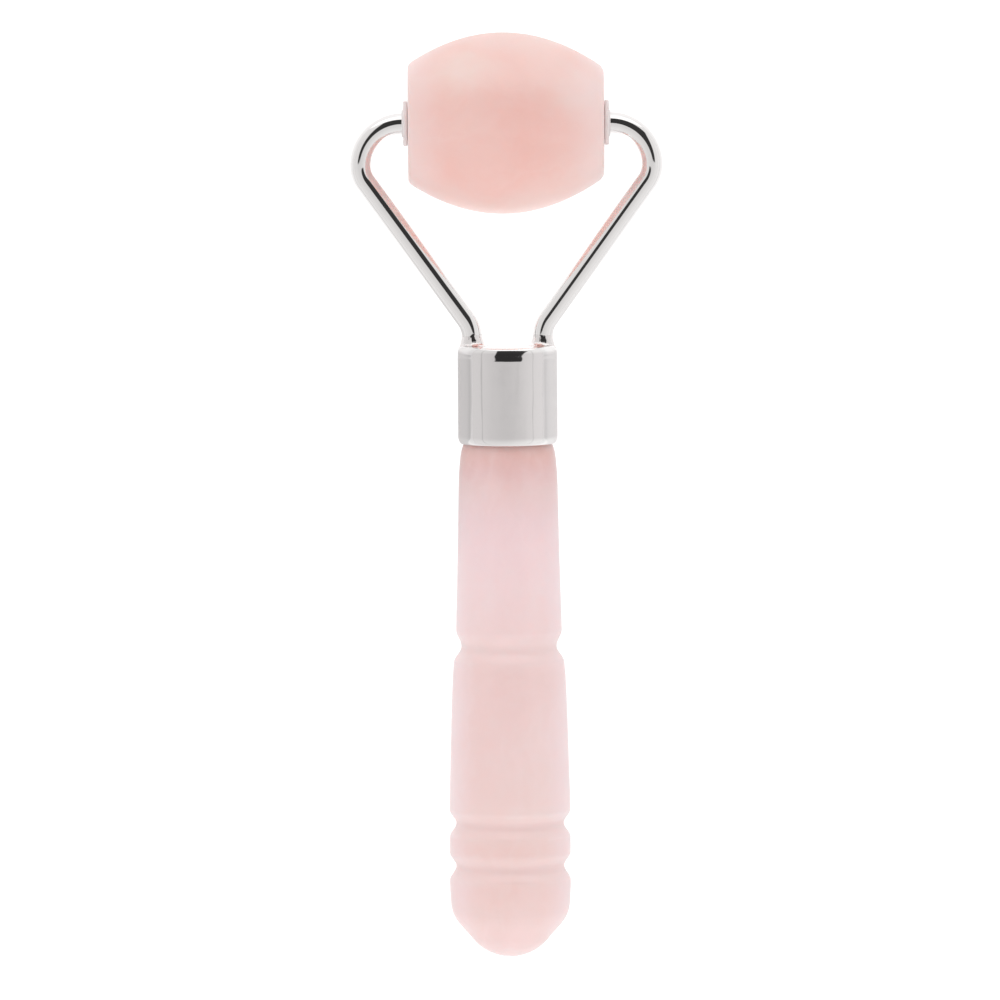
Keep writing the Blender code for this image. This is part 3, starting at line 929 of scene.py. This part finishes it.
# --------------------------------------------------------------- stage and light
def build_floor():
    bm = bmesh.new()
    bmesh.ops.create_grid(bm, x_segments=8, y_segments=8, size=4.0)
    mesh = bpy.data.meshes.new("floor")
    bm.to_mesh(mesh)
    bm.free()
    floor = bpy.data.objects.new("floor", mesh)
    bpy.context.scene.collection.objects.link(floor)
    floor.location = (0, 0, -0.0002)
    m, n = new_material("lit_table")
    soft = n.noise(n.vec("SCALE", n.node("ShaderNodeTexCoord").outputs["Object"], scale=1.0), 1.5, 2.0)
    tone = n.mix(soft, (0.54, 0.54, 0.54), (0.56, 0.56, 0.56))
    d = n.node("ShaderNodeBsdfDiffuse")
    n.put(d.inputs[0], tone)
    e = n.node("ShaderNodeEmission")
    e.inputs[0].default_value = (1, 1, 1, 1)
    e.inputs[1].default_value = FLOOR_GLOW
    base_glow = n.node("ShaderNodeEmission")
    base_glow.inputs[0].default_value = (1, 1, 1, 1)
    fx, fy, _ = n.split(n.vec("SCALE", n.node("ShaderNodeTexCoord").outputs["Object"], scale=1000.0))
    wide = n.math("ABSOLUTE", fx)
    # painted light in the table's glow: a pool brighter within 14 mm of the middle line, fading by 85 mm
    pool = n.span(wide, 14.0, 85.0, TABLE_GLOW, TABLE_GLOW - 0.15)
    # painted shadow: the glow is dimmed beside the ferrule, more on its left
    painted_ferrule_shadow = n.math("MULTIPLY", n.span(fy, -10.0, -3.0), n.span(fy, 20.0, 15.5))
    painted_ferrule_shadow = n.math("MULTIPLY", painted_ferrule_shadow, n.span(wide, 420.0, 4.0))
    painted_ferrule_shadow = n.math("MULTIPLY", painted_ferrule_shadow, n.span(fx, -9.0, 9.0, 0.27, 0.13))
    # painted light: a brighter patch of glow just past the ferrule's top
    painted_light_patch = n.math("MULTIPLY", n.span(fy, 17.0, 19.0), n.span(fy, 40.0, 30.0))
    painted_light_patch = n.math("MULTIPLY", painted_light_patch, n.span(wide, 12.0, 7.0))
    pool = n.math("SUBTRACT", pool, painted_ferrule_shadow)
    pool = n.math("ADD", pool, n.math("MULTIPLY", painted_light_patch, 0.34))
    n.put(base_glow.inputs[1], pool)
    lit = n.node("ShaderNodeAddShader")
    n.tree.links.new(d.outputs[0], lit.inputs[0])
    n.tree.links.new(base_glow.outputs[0], lit.inputs[1])
    path = n.node("ShaderNodeLightPath")
    add = n.node("ShaderNodeMixShader")
    n.put(add.inputs[0], n.math("MULTIPLY", path.outputs["Is Camera Ray"], 0.80))
    n.tree.links.new(lit.outputs[0], add.inputs[1])
    n.tree.links.new(e.outputs[0], add.inputs[2])
    finish_material(n, add)
    mesh.materials.append(m)


FLOOR_GLOW = 1.22
TABLE_GLOW = 0.52


def build_world():
    """A light tent with a soft box over the far end and a dark gap overhead."""
    scene = bpy.context.scene
    world = bpy.data.worlds.new("studio")
    world.use_nodes = True
    scene.world = world
    n = Net(world.node_tree)
    d = n.node("ShaderNodeTexCoord").outputs["Generated"]
    x, y, z = n.split(d)
    up = n.math("ARCTAN2", y, z)
    side = n.math("ARCSINE", x)
    round_x = n.math("ARCTAN2", x, z)
    deg = math.radians
    # the dark gap overhead, leaning a little to the right
    lean = n.math("SUBTRACT", side, n.math("MULTIPLY", up, 0.2))
    gap = n.math("MULTIPLY", n.span(up, deg(-5.4), deg(-4.0)), n.span(up, deg(49), deg(46)))
    gap = n.math("MULTIPLY", gap, n.span(lean, deg(-31), deg(-28)))
    gap = n.math("MULTIPLY", gap, n.span(lean, deg(36), deg(32)))
    # walls of the tent: greyer near the gap, lighter lower down, with two seams
    off = n.math("ARCCOSINE", n.vec("DOT_PRODUCT", d, (0.0, 0.0, 1.0)))
    wall = n.span(off, deg(0), deg(85), 0.72, 0.88)
    wall = n.math("ADD", wall, n.math("MULTIPLY", x, 0.03))
    for at in (-63.0, 62.0):
        seam = n.span(n.math("ABSOLUTE", n.math("SUBTRACT", round_x, deg(at))), deg(2.4), 0.0)
        wall = n.math("SUBTRACT", wall, n.math("MULTIPLY", seam, 0.20))
    box = n.span(y, 0.70, 0.77)
    level = n.math("ADD", wall, n.math("MULTIPLY", box, 0.42))
    dark = n.math("SUBTRACT", 1.0, n.math("MULTIPLY", gap, 0.95))
    level = n.math("MULTIPLY", level, dark)
    bg = n.node("ShaderNodeBackground")
    tone = n.mix(1.0, (1.0, 0.99, 0.985), level, "MULTIPLY")
    n.put(bg.inputs["Color"], tone)
    bg.inputs["Strength"].default_value = 1.0
    plain = n.node("ShaderNodeBackground")
    plain.inputs["Color"].default_value = (1, 1, 1, 1)
    plain.inputs["Strength"].default_value = 1.0
    path = n.node("ShaderNodeLightPath")
    mix = n.node("ShaderNodeMixShader")
    n.put(mix.inputs[0], path.outputs["Is Camera Ray"])
    n.tree.links.new(bg.outputs[0], mix.inputs[1])
    n.tree.links.new(plain.outputs[0], mix.inputs[2])
    out = n.node("ShaderNodeOutputWorld")
    n.tree.links.new(mix.outputs[0], out.inputs["Surface"])


def soft_light(name, place, size, power, colour=(1, 1, 1)):
    """Large area light aimed at the origin, for diffuse light only."""
    data = bpy.data.lights.new(name, "AREA")
    data.shape = "DISK"
    data.size = size
    data.energy = power
    data.color = colour
    obj = bpy.data.objects.new(name, data)
    bpy.context.scene.collection.objects.link(obj)
    obj.location = place
    obj.rotation_euler = (-Vector(place)).to_track_quat("-Z", "Y").to_euler()
    obj.visible_glossy = False
    obj.visible_camera = False
    return obj


def build_camera():
    scene = bpy.context.scene
    data = bpy.data.cameras.new("camera")
    data.lens = 657.7
    data.sensor_width = 36.0
    data.clip_start = 0.05
    data.clip_end = 20.0
    cam = bpy.data.objects.new("camera", data)
    scene.collection.objects.link(cam)
    tilt = math.radians(CAM_TILT)
    back = Vector((0.0, math.sin(tilt), math.cos(tilt)))
    right = Vector((1.0, 0.0, 0.0))
    up = back.cross(right)
    roll = Matrix.Rotation(math.radians(CAM_ROLL), 3, back)
    right, up = roll @ right, roll @ up
    aim = POSE @ Vector((CAM_AIM[0] * MM, 0.0, CAM_AIM[1] * MM))
    m = Matrix.Identity(4)
    spot = aim + back * CAM_DISTANCE
    for i in range(3):
        m[i][0], m[i][1], m[i][2], m[i][3] = right[i], up[i], back[i], spot[i]
    cam.matrix_world = m
    scene.camera = cam


CAM_TILT = 2.49
CAM_ROLL = -0.34
CAM_AIM = (-0.99, 55.21)
CAM_DISTANCE = 2.2

# ------------------------------------------------------------------------ main
mirror_wire = chrome("chrome_wire", wave=0.006, wave_scale=0.30)
# the cup's tint is set darker than the wire's, a painted shade standing in for the shadowed floor its sides
# reflect
mirror_cup = chrome("chrome_cup", tint=(0.775, 0.752, 0.752), wave=0.060, wave_scale=0.50, stretch=0.16, brushed=(1.6, 1.6, 0.10), bright_ends=FERRULE_TOP - FERRULE_BOTTOM)
mirror_braze = chrome("chrome_braze", tint=(0.835, 0.805, 0.800), wave=0.06, wave_scale=0.9, blotch=0.08)
plastic = nylon()

build_barrel(barrel_quartz())
for side, word in ((-1, "left"), (1, "right")):
    build_bush(side, word, plastic)
    build_arm(side, word, mirror_wire)
    build_fillet(side, word, mirror_braze)
build_ferrule(mirror_cup)
build_handle(grip_quartz())

bond = frame["nodes"]["epoxy_bond"]
glue = epoxy()
if not bond.material_slots:
    bond.data.materials.append(glue)
for s in bond.material_slots:
    s.material = glue

build_floor()
build_world()
soft_light("overhead", (0.0, 0.1, 1.9), 1.8, 9.0)
soft_light("far_end", (0.0, 1.5, 0.8), 1.2, 3.6)
soft_light("near_end", (0.0, -1.5, 0.8), 1.2, 4.4)
build_camera()

bpy.context.scene.view_settings.view_transform = "Standard"
bpy.context.scene.view_settings.look = "None"
